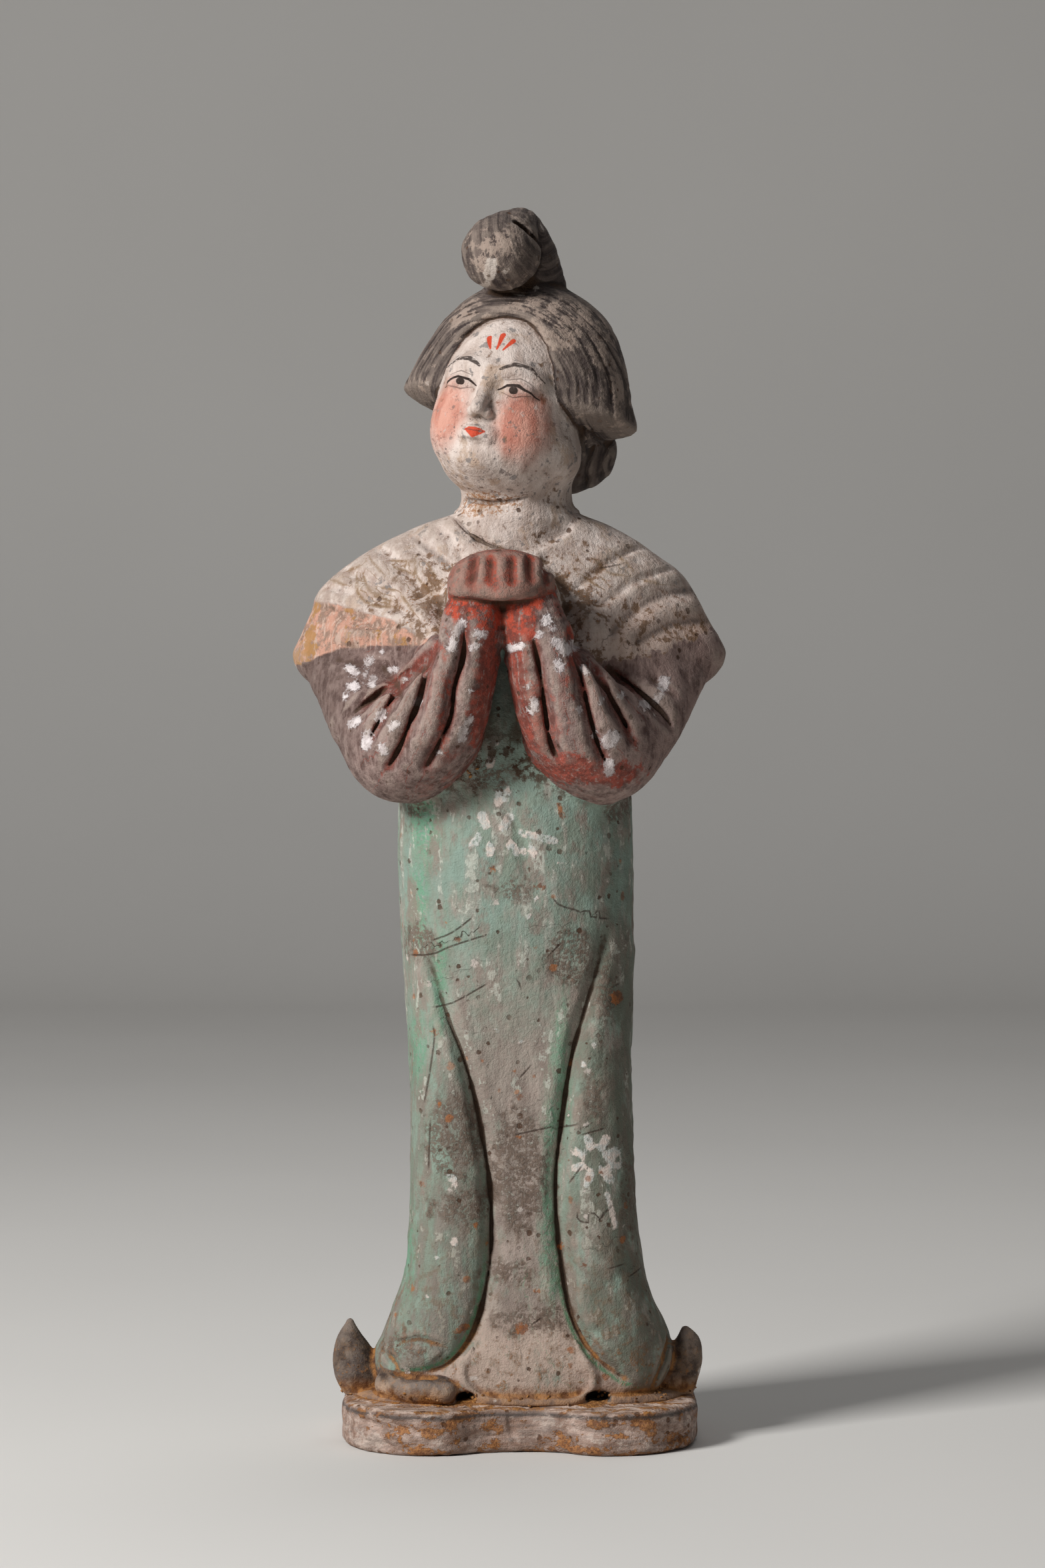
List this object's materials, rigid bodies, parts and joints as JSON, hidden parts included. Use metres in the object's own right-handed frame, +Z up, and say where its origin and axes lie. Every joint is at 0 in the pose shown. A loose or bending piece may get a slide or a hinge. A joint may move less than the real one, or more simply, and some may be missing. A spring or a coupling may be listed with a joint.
{
  "type": "terracotta lady figure",
  "caption": "Standing painted terracotta court lady with a falling topknot, sleeve-wrapped hands raised at the chest, on a low waisted clay slab.",
  "frame": {"origin": "centre of the slab's flat underside", "axes": "+Z up along the standing figure, -Y towards the viewer (the front), +X to the viewer's right"},
  "size_m": [0.1584, 0.1116, 0.4499],
  "materials": {
    "painted_clay": "unglazed clay with worn white slip and matt mineral paint, green gown, grey-brown and red sleeves, soil in the hollows",
    "slipped_clay": "unglazed clay with worn white slip and ochre soil"
  },
  "bodies": {
    "root": {"figure": "painted_clay", "base_slab": "slipped_clay"}
  },
  "joints": []
}
